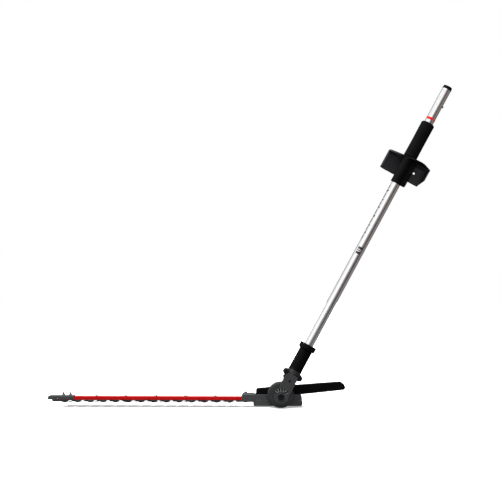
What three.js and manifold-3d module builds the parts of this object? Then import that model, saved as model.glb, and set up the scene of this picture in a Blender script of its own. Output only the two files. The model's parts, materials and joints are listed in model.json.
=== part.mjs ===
// Pole hedge trimmer attachment: a split-shaft tube with a drive shaft inside, a foam grip and a
// branch guard, and at its lower end an articulating cutting head with two reciprocating blades.
// Millimetres, +Z up. The origin is the power-head end of the tube's axis. The blades point along
// -X, and +Y runs from the side of the pole towards the side of the blades.

import * as THREE from "three";
import { mergeVertices } from "three/addons/utils/BufferGeometryUtils.js";
import Module from "manifold-3d";

const wasm = await Module();
wasm.setup();

// ---------------------------------------------------------------- driving dimensions

const POLE_ANGLE = 61.6; // of the pole above the blade line, in degrees
const POLE_LENGTH = 965; // from the hinge axis to the end of the tube's cap
const FIT = 0.3; // gap between pieces that touch

const TUBE_R = 12.7;
const TUBE_WALL = 1.5;
const TUBE_START = 67;
const TUBE_END = 960;
const SHAFT_R = 3.0;
const BEARING_STATIONS = [128, 400, 690];

const DRUM_R = 35;
const DRUM_LIFT = [-3.3, 3.9]; // of the drum's centre from the hinge axis, across and up the pole
const DRUM_FACE = -18.5; // near face of the drum, along Y
const DRUM_FLAT_R = 29; // the face is flat to here, then slopes back to the rim
const DRUM_SLOPE = 3.2;
const ARM_FACE = -22;
const PIVOT_FACE = -26.8; // near face of the pivot bolt's head
const DRUM_BACK = 13;
const ARM_HALF = 17;
const ARM_END_R = 19;
const CLAMP_STATION = 67;
const CLAMP_LATERAL = 20;
const LUG_R = 8.5;
const BARREL_R = 18.5;
const BARREL_START = 65.5;
const BARREL_END = 79.4;
const GEAR_CAVITY_R = 17.5;
const TUNNEL_R = 8.5;
const BOLT_R = 3.0;
const COVER_SCREW_STATION = 49;

const PLATE_FRONT = -15.9;
const PLATE_BACK = -13.1;
const PLATE_R = 25;
const NOTCH_R = 16;
const NOTCH_WIDTH = 5.6;
const DETENT_STEP = 20.5; // degrees between two cutting angles
const NOTCHES_DOWN = 4;
const NOTCHES_UP = 3;
const WINDOW_RIGHT = -31;
const WINDOW_LEFT = 88;

const COLLAR_START = 80;
const COLLAR_END = 159;
const COLLAR_R = 18.25;
const COLLAR_FLANGE_START = 145;
const COLLAR_FLANGE_R = 23.5;

const HEAD_Y = 38.5; // the blades' middle plane
const CASE_LEFT = -75.8;
const CASE_RIGHT = 60.5;
const CASE_NEAR = 14;
const CASE_FAR = 63;
const CASE_TOP = 2.7;
const CASE_BOTTOM = -27.7;
const CASE_SPLIT = -12.7;
const CASE_WALL = 3.2;

const BAR_TOP = -4.8;
const BAR_BOTTOM = -12.6;
const BAR_HALF = 15;
const BAR_START = -80;
const BAR_END = -612;
const BAR_BOLT_FIRST = -180;
const BAR_BOLT_PITCH = 82;
const BAR_BOLTS = 5;
const TIP_BOLT_X = [-578.4, -597.6];
const NOSE_BOLT_X = -96;
const BAR_BOLT_R = 2.9;

const BLADE_THICK = 2.6;
const BLADE_GAP = 0.3;
const TOOTH_PITCH = 34.5;
const TEETH = 14;
const TOOTH_FIRST = -140;
const TOOTH_TIP_HALF = 6;
const TOOTH_ROOT_HALF = 10;
const TOOTH_REACH = 36;
const SPINE_HALF = 13;
const BLADE_TRAVEL = 8;

const CAM_THROW = 8;
const CAM_R = 5;

const GUARD_PLATE_START = 737;
const GUARD_PLATE_END = 741;
const GUARD_SKIRT_START = 690;
const GUARD_FAR = 60;
const GUARD_WALL = 3;
const CLAMP_START = 661;
const CLAMP_END = GUARD_PLATE_START - 0.4;

const GRIP_START = 742;
const GRIP_END = 850;
const GRIP_R = 19;

// ---------------------------------------------------------------- solids

const XZ = "xz"; // outline drawn in X and Z, extruded along Y
const XY = "xy"; // outline drawn in X and Y, extruded along Z
const YZ = "yz"; // outline drawn in Y and Z, extruded along X

const radians = THREE.MathUtils.degToRad;

function solid(geometry) {
  const bare = geometry.clone();
  bare.deleteAttribute("normal");
  bare.deleteAttribute("uv");
  const merged = mergeVertices(bare, 1e-4);
  return new wasm.Manifold(
    new wasm.Mesh({
      numProp: 3,
      vertProperties: new Float32Array(merged.attributes.position.array),
      triVerts: new Uint32Array(merged.index.array),
    }),
  );
}

function geometryOf(body) {
  const mesh = body.getMesh();
  const geometry = new THREE.BufferGeometry();
  geometry.setAttribute("position", new THREE.BufferAttribute(mesh.vertProperties, 3));
  geometry.setIndex(new THREE.BufferAttribute(mesh.triVerts, 1));
  geometry.computeVertexNormals();
  return geometry;
}

function join(...bodies) {
  return bodies.reduce((all, body) => all.add(body));
}

function cut(body, ...tools) {
  return tools.reduce((rest, tool) => rest.subtract(tool), body);
}

// Box from its lowest to its highest corner.
function box(x0, x1, y0, y1, z0, z1) {
  const geometry = new THREE.BoxGeometry(x1 - x0, y1 - y0, z1 - z0);
  return solid(geometry.translate((x0 + x1) / 2, (y0 + y1) / 2, (z0 + z1) / 2));
}

// Round bar along Z, X or Y between two places; a second radius makes it a cone.
function barZ(r, z0, z1, x = 0, y = 0, sides = 18, rEnd = r) {
  const geometry = new THREE.CylinderGeometry(rEnd, r, z1 - z0, sides);
  return solid(geometry.rotateX(Math.PI / 2).translate(x, y, (z0 + z1) / 2));
}

function barY(r, y0, y1, x = 0, z = 0, sides = 18, rEnd = r) {
  const geometry = new THREE.CylinderGeometry(rEnd, r, y1 - y0, sides);
  return solid(geometry.translate(x, (y0 + y1) / 2, z));
}

function barX(r, x0, x1, y = 0, z = 0, sides = 18) {
  const geometry = new THREE.CylinderGeometry(r, r, x1 - x0, sides);
  return solid(geometry.rotateZ(Math.PI / 2).translate((x0 + x1) / 2, y, z));
}

function hexZ(r, z0, z1, x = 0, y = 0) {
  return barZ(r, z0, z1, x, y, 6);
}

function hexY(r, y0, y1, x = 0, z = 0) {
  return barY(r, y0, y1, x, z, 6);
}

function ringZ(rIn, rOut, z0, z1, x = 0, y = 0, sides = 28) {
  return cut(barZ(rOut, z0, z1, x, y, sides), barZ(rIn, z0 - 1, z1 + 1, x, y, sides));
}

function ringY(rIn, rOut, y0, y1, x = 0, z = 0, sides = 28) {
  return cut(barY(rOut, y0, y1, x, z, sides), barY(rIn, y0 - 1, y1 + 1, x, z, sides));
}

// Turned piece about Z: a closed [radius, z] profile, listed counter-clockwise.
function turnedZ(profile, sides) {
  const points = profile.map(([r, z]) => new THREE.Vector2(r, z));
  return solid(new THREE.LatheGeometry(points, sides).rotateX(Math.PI / 2));
}

// Outline of [u, v] points, pushed from a to b along the third axis.
function prism(points, plane, a, b) {
  const shape = new THREE.Shape(points.map(([u, v]) => new THREE.Vector2(u, v)));
  return solidOfShape(shape, plane, a, b);
}

function solidOfShape(shape, plane, a, b, curveSegments = 4) {
  const geometry = new THREE.ExtrudeGeometry(shape, {
    depth: b - a,
    bevelEnabled: false,
    curveSegments,
  });
  if (plane === XZ) geometry.rotateX(Math.PI / 2).translate(0, b, 0);
  else if (plane === YZ) geometry.rotateX(Math.PI / 2).rotateZ(Math.PI / 2).translate(a, 0, 0);
  else geometry.translate(0, 0, a);
  return solid(geometry);
}

// Closed outline whose corners are rounded; each corner is [u, v, radius].
function roundedShape(corners) {
  const shape = new THREE.Shape();
  const count = corners.length;
  corners.forEach(([u, v, r], i) => {
    const here = new THREE.Vector2(u, v);
    const before = new THREE.Vector2(...corners[(i + count - 1) % count].slice(0, 2));
    const after = new THREE.Vector2(...corners[(i + 1) % count].slice(0, 2));
    const back = before.sub(here).setLength(r || 0);
    const ahead = after.sub(here).setLength(r || 0);
    const enter = here.clone().add(back);
    const leave = here.clone().add(ahead);
    if (i === 0) shape.moveTo(enter.x, enter.y);
    else shape.lineTo(enter.x, enter.y);
    if (r) shape.quadraticCurveTo(u, v, leave.x, leave.y);
  });
  shape.closePath();
  return shape;
}

// Gear outline with straight-sided teeth, centred on the origin.
function gearPoints(teeth, rRoot, rTip) {
  const points = [];
  for (let i = 0; i < teeth; i += 1) {
    for (const [part, r] of [[-0.3, rRoot], [-0.14, rTip], [0.14, rTip], [0.3, rRoot]]) {
      const turn = ((i + part) * 2 * Math.PI) / teeth;
      points.push([r * Math.cos(turn), r * Math.sin(turn)]);
    }
  }
  return points;
}

// ---------------------------------------------------------------- scene graph

const attachment = new THREE.Group();
const poleTilt = radians(90 - POLE_ANGLE);
const hinge = new THREE.Group(); // its origin is where the pole's axis crosses the hinge axis
hinge.position.set(-POLE_LENGTH * Math.sin(poleTilt), 0, -POLE_LENGTH * Math.cos(poleTilt));
attachment.add(hinge);
const pole = new THREE.Group(); // its Z runs up the pole, so a place along it is a station
pole.rotation.y = poleTilt;
const head = new THREE.Group();
hinge.add(pole, head);

const FINISH = {
  castGrey: { color: 0x3a3c3e, roughness: 0.55, metalness: 0.2 },
  blackPlastic: { color: 0x101112, roughness: 0.5, metalness: 0 },
  blackSteel: { color: 0x17181a, roughness: 0.4, metalness: 0.6 },
  aluminium: { color: 0xd6d6d8, roughness: 0.3, metalness: 1 },
  steel: { color: 0x9b9ea1, roughness: 0.3, metalness: 1 },
  darkSteel: { color: 0x3c4649, roughness: 0.35, metalness: 0.9 },
  brass: { color: 0xb08d4a, roughness: 0.4, metalness: 1 },
  red: { color: 0xc10c0e, roughness: 0.35, metalness: 0.1 },
  foam: { color: 0x0d0d0e, roughness: 0.95, metalness: 0 },
};

function node(group, name, body, finish) {
  const mesh = new THREE.Mesh(geometryOf(body), new THREE.MeshStandardMaterial(FINISH[finish]));
  mesh.name = name;
  group.add(mesh);
}

// ---------------------------------------------------------------- tube and what it carries

const BUTTON_STATION = 908;
const BUTTON_R = 3;
const BUTTON_TIP = 15.6;
const HOLE_STATION = 939;
const INNER_R = TUBE_R - TUBE_WALL;

function tube() {
  const wall = ringZ(INNER_R, TUBE_R, TUBE_START, TUBE_END - 4.3, 0, 0, 32);
  const buttonHole = barX(BUTTON_R + FIT, 5, 20, 0, BUTTON_STATION);
  const lockHole = barX(2.6, -20, -5, 0, HOLE_STATION, 16);
  return cut(wall, buttonHole, lockHole);
}

function tubeEndCap() {
  const rim = barZ(TUBE_R + 0.6, TUBE_END - 4, POLE_LENGTH, 0, 0, 28, TUBE_R - 0.4);
  const plug = barZ(INNER_R - FIT, TUBE_END - 16, TUBE_END - 3, 0, 0, 20);
  return cut(join(rim, plug), barZ(7.5, TUBE_END - 20, POLE_LENGTH + 1));
}

function driveShaft() {
  const rod = barZ(SHAFT_R, 8, 944, 0, 0, 16);
  const drivenEnd = box(-2.2, 2.2, -2.2, 2.2, 943, 952);
  return join(rod, drivenEnd);
}

function shaftBearing(station) {
  return ringZ(SHAFT_R + 0.1, INNER_R - FIT, station, station + 14, 0, 0, 16);
}

function latchButton() {
  const stem = barX(BUTTON_R, 9, BUTTON_TIP - 1, 0, BUTTON_STATION, 14);
  const dome = solid(
    new THREE.SphereGeometry(BUTTON_R, 14, 6).translate(BUTTON_TIP - BUTTON_R, 0, BUTTON_STATION),
  );
  const shoulder = barX(BUTTON_R + 1.2, 7.6, 9.6, 0, BUTTON_STATION, 14);
  return join(stem, dome, shoulder);
}

// Bent strip inside the tube that pushes the button out, slotted where the drive shaft passes.
function latchSpring() {
  const half = 5.6;
  const outline = [
    [-9, BUTTON_STATION - 26],
    [-8.2, BUTTON_STATION - 26],
    [-5.6, BUTTON_STATION - 24],
    [7.2, BUTTON_STATION - 4],
    [7.2, BUTTON_STATION + 4],
    [6.4, BUTTON_STATION + 4],
    [6.4, BUTTON_STATION - 3.6],
    [-6.2, BUTTON_STATION - 23.2],
    [-9, BUTTON_STATION - 25.2],
  ];
  const strip = prism(outline, XZ, -half, half);
  return cut(strip, barZ(SHAFT_R + 0.6, BUTTON_STATION - 30, BUTTON_STATION + 10, 0, 0, 16));
}

// Painted ring that shows how deep the tube goes into the power head; open on one side.
function depthMarkBand() {
  const band = ringZ(TUBE_R + FIT, TUBE_R + FIT + 0.4, 859, 866, 0, 0, 32);
  const open = box(4, 8.5, -20, 0, 850, 870);
  return cut(band, open);
}

// Thin curved sticker on the left of the tube, towards the near side.
function tubeLabel(from, to, width) {
  const skin = ringZ(TUBE_R + FIT, TUBE_R + FIT + 0.35, from, to, 0, 0, 32);
  const keep = box(-20, -TUBE_R * Math.cos(width), -12, 2, from - 1, to + 1);
  return skin.intersect(keep);
}

function foamGrip() {
  const inner = TUBE_R + FIT;
  const profile = [
    [inner, GRIP_START],
    [GRIP_R - 1, GRIP_START],
    [GRIP_R, GRIP_START + 2],
    [GRIP_R, GRIP_END - 5],
    [GRIP_R - 1.5, GRIP_END - 1.5],
    [GRIP_R - 5, GRIP_END],
    [inner, GRIP_END],
    [inner, GRIP_START],
  ];
  return turnedZ(profile, 24);
}

node(pole, "shaft_tube", tube(), "aluminium");
node(pole, "tube_end_cap", tubeEndCap(), "blackPlastic");
node(pole, "drive_shaft", driveShaft(), "steel");
BEARING_STATIONS.forEach((station, i) => {
  node(pole, `shaft_bearing_${i + 1}`, shaftBearing(station), "blackPlastic");
});
node(pole, "latch_button", latchButton(), "blackSteel");
node(pole, "latch_spring", latchSpring(), "steel");
node(pole, "depth_mark_band", depthMarkBand(), "red");
node(pole, "foam_grip", foamGrip(), "foam");
node(pole, "pole_label", tubeLabel(480, 650, 0.72), "blackPlastic");

// ---------------------------------------------------------------- branch guard

const GUARD_NEAR = -31;
const GUARD_LEFT = -60;
const GUARD_RIGHT = 69;
const SKIRT_NEAR = 26; // the skirt runs from here round the far side
const DRAIN_HOLE = [35, 719];
const CLAMP_R = 16;
const CLAMP_LUG_END = 25;
const CLAMP_SPLIT = -2;
const GUARD_SCREWS = [[19.8, 675], [19.8, 703]];

// Plan of the guard across the pole; its near edge comes to a blunt point right of the tube.
function guardPlan(inset) {
  const left = GUARD_LEFT + inset;
  const right = GUARD_RIGHT - inset;
  const far = GUARD_FAR - inset;
  const near = GUARD_NEAR + inset;
  return roundedShape([
    [18, near, 10],
    [40, near, 10],
    [right, 17, 10],
    [right - 3, far, 14],
    [left, far, 20],
    [left + 3, 15, 10],
  ]);
}

// A top plate, a skirt that hangs from it round the far side, and the rear half of the clamp.
function guardShield() {
  const plate = solidOfShape(guardPlan(0), XY, GUARD_PLATE_START, GUARD_PLATE_END);
  const outer = solidOfShape(guardPlan(0), XY, GUARD_SKIRT_START, GUARD_PLATE_START + 1);
  const inner = solidOfShape(guardPlan(GUARD_WALL), XY, GUARD_SKIRT_START - 1, GUARD_PLATE_START);
  const openSide = box(-80, 90, GUARD_NEAR - 5, SKIRT_NEAR, GUARD_SKIRT_START - 1, GUARD_PLATE_START);
  const skirt = cut(outer, inner, openSide);
  const slantCorner = prism([[57, 685], [82, 741], [82, 685]], XZ, -40, GUARD_FAR + 10);
  const rearHalf = join(
    barZ(CLAMP_R, CLAMP_START + 2, CLAMP_END + 1, 0, 0, 28),
    box(8, CLAMP_LUG_END, CLAMP_SPLIT, 7, CLAMP_START + 2, CLAMP_END + 1),
    box(-GUARD_WALL / 2, GUARD_WALL / 2, 12, GUARD_FAR - 1, GUARD_SKIRT_START + 4, CLAMP_END + 1),
  );
  const nearSide = box(-30, 40, -30, CLAMP_SPLIT, CLAMP_START, GUARD_PLATE_START - FIT);
  const screwHoles = GUARD_SCREWS.map(([l, s]) => barY(2.3, -10, 12, l, s, 16));
  const drainHole = barY(3, GUARD_FAR - 10, GUARD_FAR + 5, ...DRAIN_HOLE, 16);
  const bore = barZ(TUBE_R + FIT, CLAMP_START, GUARD_PLATE_END + 1, 0, 0, 28);
  const body = join(plate, skirt, cut(rearHalf, nearSide));
  return cut(body, bore, slantCorner, drainHole, ...screwHoles);
}

function guardClampCap() {
  const shell = join(
    barZ(CLAMP_R + 1, CLAMP_START, CLAMP_END, 0, 0, 28),
    solidOfShape(
      roundedShape([
        [6, CLAMP_START, 0],
        [CLAMP_LUG_END, CLAMP_START, 5],
        [CLAMP_LUG_END, CLAMP_END, 2],
        [6, CLAMP_END, 0],
      ]),
      XZ,
      -12,
      CLAMP_SPLIT,
    ),
  );
  const farSide = box(-30, 40, CLAMP_SPLIT - FIT, 30, CLAMP_START - 1, CLAMP_END + 1);
  const holes = GUARD_SCREWS.map(([l, s]) => barY(2.3, -20, 0, l, s, 16));
  return cut(shell, farSide, barZ(TUBE_R + FIT, CLAMP_START - 1, CLAMP_END + 1, 0, 0, 28), ...holes);
}

// Button-head screw along Y; the head's face is at its near end.
function screwY(l, s, headFace, headR, headHeight, shankR, tip) {
  const dome = barY(headR * 0.72, headFace, headFace + headHeight, l, s, 16, headR);
  const socket = hexY(headR * 0.4, headFace - 1, headFace + headHeight * 0.6, l, s);
  return join(cut(dome, socket), barY(shankR, headFace + headHeight * 0.8, tip, l, s, 12));
}

node(pole, "guard_shield", guardShield(), "castGrey");
node(pole, "guard_clamp_cap", guardClampCap(), "blackPlastic");
GUARD_SCREWS.forEach(([l, s], i) => {
  node(pole, `guard_screw_${i + 1}`, screwY(l, s, -15.3, 3.4, 3, 1.8, 8), "blackSteel");
});

// ---------------------------------------------------------------- arm casting, in two halves

// Piece of pie around the hinge, between two angles counted from the pole towards the left.
function sectorY(rIn, rOut, from, to, y0, y1) {
  const steps = 8;
  const points = [];
  for (let i = 0; i <= steps; i += 1) {
    const turn = radians(from + ((to - from) * i) / steps);
    points.push([-rOut * Math.sin(turn), rOut * Math.cos(turn)]);
  }
  for (let i = steps; i >= 0; i -= 1) {
    const turn = radians(from + ((to - from) * i) / steps);
    points.push([-rIn * Math.sin(turn), rIn * Math.cos(turn)]);
  }
  return prism(points, XZ, y0, y1);
}

function armSolid() {
  const drumProfile = [
    [0, -DRUM_BACK],
    [DRUM_R, -DRUM_BACK],
    [DRUM_R, -DRUM_FACE - DRUM_SLOPE],
    [DRUM_FLAT_R, -DRUM_FACE],
    [0, -DRUM_FACE],
  ];
  const [acrossPole, upPole] = DRUM_LIFT;
  const drum = turnedZ(drumProfile, 48).rotate([90, 0, 0]).translate([acrossPole, 0, upPole]);
  const armEnd = barY(ARM_END_R, ARM_FACE, DRUM_FACE + 1, 0, 0, 36);
  const boltRing = ringY(9.3, 12.2, ARM_FACE - 1, ARM_FACE + 1, 0, 0, 36);
  const rib = box(-ARM_HALF, ARM_HALF, ARM_FACE, -12, 0, BARREL_START + 1);
  const neck = box(-ARM_HALF, ARM_HALF, -14, DRUM_BACK, 0, BARREL_START + 1);
  const barrel = barZ(BARREL_R, BARREL_START, BARREL_END, 0, 0, 28);
  const web = box(-CLAMP_LATERAL, CLAMP_LATERAL, -11, 11, 58, 76);
  const sideBoss = barY(6, -9, 9, -15.5, 53, 16);
  const lugs = [-1, 1].map((side) => barY(LUG_R, -13, 12.5, side * CLAMP_LATERAL, CLAMP_STATION, 20));
  return join(drum, armEnd, boltRing, rib, neck, barrel, web, sideBoss, ...lugs);
}

function armHollows() {
  const gearCavity = barY(GEAR_CAVITY_R, -11, 10.6, 0, 0, 24);
  const tunnel = barZ(TUNNEL_R, 0, BARREL_START + 2, 0, 0, 16);
  const socket = barZ(TUBE_R + 0.25, TUBE_START - FIT, BARREL_END + 1, 0, 0, 32);
  const platePocket = barY(PLATE_R + 1, PLATE_FRONT - 0.4, PLATE_BACK + 0.4, 0, 0, 32);
  const pinChannel = box(-2.9, 2.9, PLATE_FRONT - 0.3, PLATE_BACK + 0.3, 20, BARREL_END + 1);
  const window = sectorY(12.6, PLATE_R - 0.5, WINDOW_RIGHT, WINDOW_LEFT, ARM_FACE - 2, PLATE_FRONT);
  const boltHole = barY(BOLT_R + 0.4, ARM_FACE - 2, 0, 0, 0, 20);
  const shaftHole = barY(6, 0, DRUM_BACK + 1, 0, 0, 24);
  const coverScrew = barY(2, ARM_FACE - 1, -17.4, 0, COVER_SCREW_STATION, 14);
  const counterbore = barY(3.9, ARM_FACE - 1, ARM_FACE + 1.8, 0, COVER_SCREW_STATION, 20);
  const clampHoles = [-1, 1].map((side) => {
    return barY(2.8, -20, 20, side * CLAMP_LATERAL, CLAMP_STATION, 12);
  });
  const spotFaces = [-1, 1].map((side) => {
    return barY(6.9, ARM_FACE - 1, -13, side * CLAMP_LATERAL, CLAMP_STATION, 20);
  });
  const hollows = [gearCavity, tunnel, socket, platePocket, pinChannel, window, boltHole, shaftHole];
  return hollows.concat(coverScrew, counterbore, clampHoles, spotFaces);
}

function armHalf(near) {
  const faceGap = FIT / 2;
  const other = near
    ? box(-60, 60, -faceGap, 40, -60, 100)
    : box(-60, 60, -40, faceGap, -60, 100);
  return cut(armSolid(), ...armHollows(), other);
}

// Socket-head bolt along Y with its nut's place left free at the far end.
function capBoltY(l, s, headFace, headR, headHeight, shankR, tip) {
  const headBody = barY(headR, headFace, headFace + headHeight, l, s, 20);
  const socket = hexY(headR * 0.45, headFace - 1, headFace + headHeight * 0.55, l, s);
  return join(cut(headBody, socket), barY(shankR, headFace + headHeight - 0.5, tip, l, s, 12));
}

node(pole, "arm_case_near", armHalf(true), "castGrey");
node(pole, "arm_case_far", armHalf(false), "castGrey");
[["left", -CLAMP_LATERAL], ["right", CLAMP_LATERAL]].forEach(([side, lateral]) => {
  node(pole, `clamp_bolt_${side}`, capBoltY(lateral, CLAMP_STATION, -18.3, 6.5, 5, 2.5, 16), "blackSteel");
});
const coverScrew = capBoltY(0, COVER_SCREW_STATION, ARM_FACE + 0.2, 3.4, 1.3, 1.7, -17.7);
node(pole, "cover_screw", coverScrew, "blackSteel");

const SHAFT_BEARING = cut(
  barZ(TUNNEL_R - FIT, 30, 42, 0, 0, 28),
  barZ(SHAFT_R + 0.1, 29, 43, 0, 0, 20),
);
node(pole, "pinion_bearing", SHAFT_BEARING, "brass");

const pinionTeeth = 10;
const PINION_R = 6.4;
function drivePinion() {
  const wheel = prism(gearPoints(pinionTeeth, PINION_R - 1.8, PINION_R), XY, 9.5, 17);
  return cut(wheel, barZ(SHAFT_R + 0.1, 5, 20, 0, 0, 20));
}
node(pole, "drive_pinion", drivePinion(), "steel");

// ---------------------------------------------------------------- angle lock

// Sliding sleeve, hollow at the top for the spring that pushes it down.
function lockCollar() {
  const bore = TUBE_R + FIT;
  const profile = [
    [bore, COLLAR_START],
    [COLLAR_R + 0.8, COLLAR_START],
    [COLLAR_R + 0.8, COLLAR_START + 3],
    [COLLAR_R, COLLAR_START + 4],
    [COLLAR_R, COLLAR_FLANGE_START - 2],
    [COLLAR_FLANGE_R - 1, COLLAR_FLANGE_START],
    [COLLAR_FLANGE_R, COLLAR_FLANGE_START + 1],
    [COLLAR_FLANGE_R, COLLAR_END - 1],
    [COLLAR_FLANGE_R - 1, COLLAR_END],
    [bore + 3.2, COLLAR_END],
    [bore + 3.2, COLLAR_START + 30],
    [bore, COLLAR_START + 30],
    [bore, COLLAR_START],
  ];
  const pinSocket = box(-2.9, 2.9, PLATE_FRONT - 0.3, PLATE_BACK + 0.3, COLLAR_START - 1, COLLAR_START + 9);
  return cut(turnedZ(profile, 28), pinSocket);
}

function collarSpring() {
  const turns = 5;
  const from = COLLAR_START + 31.5;
  const to = COLLAR_END - 12.5;
  const radius = TUBE_R + 1.9;
  class Helix extends THREE.Curve {
    getPoint(t) {
      const turn = t * turns * 2 * Math.PI;
      return new THREE.Vector3(radius * Math.cos(turn), radius * Math.sin(turn), from + (to - from) * t);
    }
  }
  const wire = new THREE.Shape().absarc(0, 0, 0.8, 0, 2 * Math.PI);
  return solid(
    new THREE.ExtrudeGeometry(wire, {
      extrudePath: new Helix(),
      steps: turns * 10,
      bevelEnabled: false,
      curveSegments: 3,
    }),
  );
}

function lockPin() {
  const half = 2.5;
  const tip = [[-half, 30], [-half, 27.4], [-1.4, 25.4], [1.4, 25.4], [half, 27.4], [half, 30]];
  const point = prism(tip, XZ, PLATE_FRONT, PLATE_BACK);
  return join(point, box(-half, half, PLATE_FRONT, PLATE_BACK, 29, COLLAR_START + 8.6));
}

// Toothed disc that turns with the head; the lock pin enters one of its notches.
function detentPlate() {
  const disc = barY(PLATE_R, PLATE_FRONT, PLATE_BACK, 0, 0, 40);
  const notches = [];
  for (let step = -NOTCHES_UP; step <= NOTCHES_DOWN; step += 1) {
    const notch = new THREE.BoxGeometry(NOTCH_WIDTH, 8, PLATE_R - NOTCH_R + 4);
    notch.translate(0, (PLATE_FRONT + PLATE_BACK) / 2, (PLATE_R + NOTCH_R + 4) / 2);
    notches.push(solid(notch.rotateY(radians(step * DETENT_STEP))));
  }
  return cut(disc, ...notches, barY(BOLT_R + 0.3, -20, 0, 0, 0, 20));
}

node(pole, "lock_collar", lockCollar(), "blackPlastic");
node(pole, "collar_spring", collarSpring(), "steel");
node(pole, "spring_stop_ring", ringZ(TUBE_R + 0.15, TUBE_R + 3, 148, 151, 0, 0, 24), "steel");
node(pole, "lock_pin", lockPin(), "steel");
node(pole, "detent_plate", detentPlate(), "steel");

// Bolt along the hinge axis; it turns with the head and carries the detent plate.
function pivotBolt() {
  const headBody = barY(8.5, PIVOT_FACE, ARM_FACE - FIT, 0, 0, 32);
  const socket = hexY(4.4, PIVOT_FACE - 1, PIVOT_FACE + 3);
  return join(cut(headBody, socket), barY(BOLT_R, ARM_FACE - 0.5, CASE_FAR + 6.5, 0, 0, 20));
}
node(pole, "pivot_bolt", pivotBolt(), "blackSteel");
const pivotNut = cut(hexY(7, CASE_FAR + FIT, CASE_FAR + 5.5), barY(BOLT_R + FIT, 50, 80, 0, 0, 20));
node(pole, "pivot_nut", pivotNut, "steel");

// ---------------------------------------------------------------- gearcase

const HUB_R = 16;
const HUB_BORE_R = 12.4;
const NOSE_LEFT = -107.5;
const NOSE_HALF = 25;
const NOSE_BOTTOM = -14;
const NOSE_TOP = 5.6;
const CASE_SCREWS = [[-66, 18.6], [49.5, -18.6]];
const BLADE_TOP = BAR_BOTTOM - BLADE_GAP;

// Box placed by its half width about the blades' middle plane.
function midBox(x0, x1, half, z0, z1) {
  return box(x0, x1, HEAD_Y - half, HEAD_Y + half, z0, z1);
}

function caseBlock() {
  const side = roundedShape([
    [CASE_LEFT, CASE_BOTTOM, 6],
    [CASE_RIGHT, CASE_BOTTOM, 7],
    [CASE_RIGHT - 3.5, CASE_TOP, 4],
    [CASE_LEFT + 3, CASE_TOP, 4],
  ]);
  const plan = roundedShape([
    [CASE_LEFT, CASE_NEAR, 5],
    [CASE_RIGHT, CASE_NEAR, 8],
    [CASE_RIGHT, CASE_FAR, 8],
    [CASE_LEFT, CASE_FAR, 5],
  ]);
  return solidOfShape(side, XZ, CASE_NEAR, CASE_FAR, 4)
    .intersect(solidOfShape(plan, XY, CASE_BOTTOM - 1, CASE_TOP + 1, 4));
}

function caseCavity() {
  return box(
    CASE_LEFT + CASE_WALL,
    CASE_RIGHT - CASE_WALL,
    CASE_NEAR + CASE_WALL,
    CASE_FAR - CASE_WALL,
    CASE_BOTTOM + CASE_WALL,
    CASE_TOP - CASE_WALL,
  );
}

function screwBoss([x, offset], z0, z1) {
  return barZ(4.5, z0, z1, x, HEAD_Y + offset, 16);
}

// Crowned block over the root of the blade bar, open below where the bar and blades run.
function nose() {
  const outline = [
    [-NOSE_HALF, NOSE_BOTTOM], [NOSE_HALF, NOSE_BOTTOM],
    [NOSE_HALF, NOSE_TOP - 2.5], [18, NOSE_TOP - 0.8], [8, NOSE_TOP],
    [-8, NOSE_TOP], [-18, NOSE_TOP - 0.8], [-NOSE_HALF, NOSE_TOP - 2.5],
  ].map(([y, z]) => [HEAD_Y + y, z]);
  const block = prism(outline, YZ, NOSE_LEFT, CASE_LEFT + 4);
  const above = NOSE_TOP + 2;
  const slant = prism([[NOSE_LEFT - 1, -4], [NOSE_LEFT - 1, above], [NOSE_LEFT + 6, above]], XZ, 0, 80);
  return cut(block, slant);
}

function gearcaseUpper() {
  const outside = join(caseBlock(), barY(HUB_R, CASE_NEAR, CASE_FAR, 0, 0, 28), nose());
  const bosses = CASE_SCREWS.map((place) => screwBoss(place, CASE_SPLIT, CASE_TOP - 1));
  const hollow = join(caseCavity(), barY(HUB_BORE_R, CASE_NEAR + 3, CASE_FAR - 3, 0, 0, 20));
  const below = box(CASE_LEFT - 0.1, CASE_RIGHT + 1, 0, 80, -60, CASE_SPLIT + FIT / 2);
  const barSlot = midBox(NOSE_LEFT - 1, CASE_LEFT + 0.5, BAR_HALF + FIT, -40, BAR_TOP + FIT);
  const bladeSlot = midBox(NOSE_LEFT - 1, CASE_LEFT + 5, SPINE_HALF + 0.8, -40, BLADE_TOP + 0.2);
  const shaftHole = barY(5.6, 10, 20, 0, 0, 24);
  const boltHole = barY(BOLT_R + 0.4, 10, 80, 0, 0, 20);
  const noseHole = barZ(BAR_BOLT_R + FIT, -20, NOSE_TOP + 1, NOSE_BOLT_X, HEAD_Y, 16);
  const screwHoles = CASE_SCREWS.map(([x, y]) => barZ(1.9, -20, -3, x, HEAD_Y + y, 14));
  const shell = join(cut(outside, hollow), ...bosses);
  return cut(shell, below, barSlot, bladeSlot, shaftHole, boltHole, noseHole, ...screwHoles);
}

function gearcaseLower() {
  const bosses = CASE_SCREWS.map((place) => screwBoss(place, CASE_BOTTOM + 1, CASE_SPLIT));
  const bearingSeat = barZ(10, CASE_BOTTOM + 1, -21.4, 0, HEAD_Y, 28);
  const shell = join(cut(caseBlock(), caseCavity()), ...bosses, bearingSeat);
  const above = box(-200, 100, 0, 80, CASE_SPLIT - FIT / 2, 20);
  const bladeSlot = midBox(CASE_LEFT - 1, CASE_LEFT + 5, SPINE_HALF + 0.8, BLADE_TOP - 7, -12);
  const seatHole = barZ(6.3, -25, -20, 0, HEAD_Y, 24);
  const screwHoles = CASE_SCREWS.flatMap(([x, y]) => [
    barZ(2.3, CASE_BOTTOM - 1, -10, x, HEAD_Y + y, 14),
    barZ(4, CASE_BOTTOM - 1, CASE_BOTTOM + 2.6, x, HEAD_Y + y, 20),
  ]);
  return cut(shell, above, bladeSlot, seatHole, ...screwHoles);
}

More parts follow.
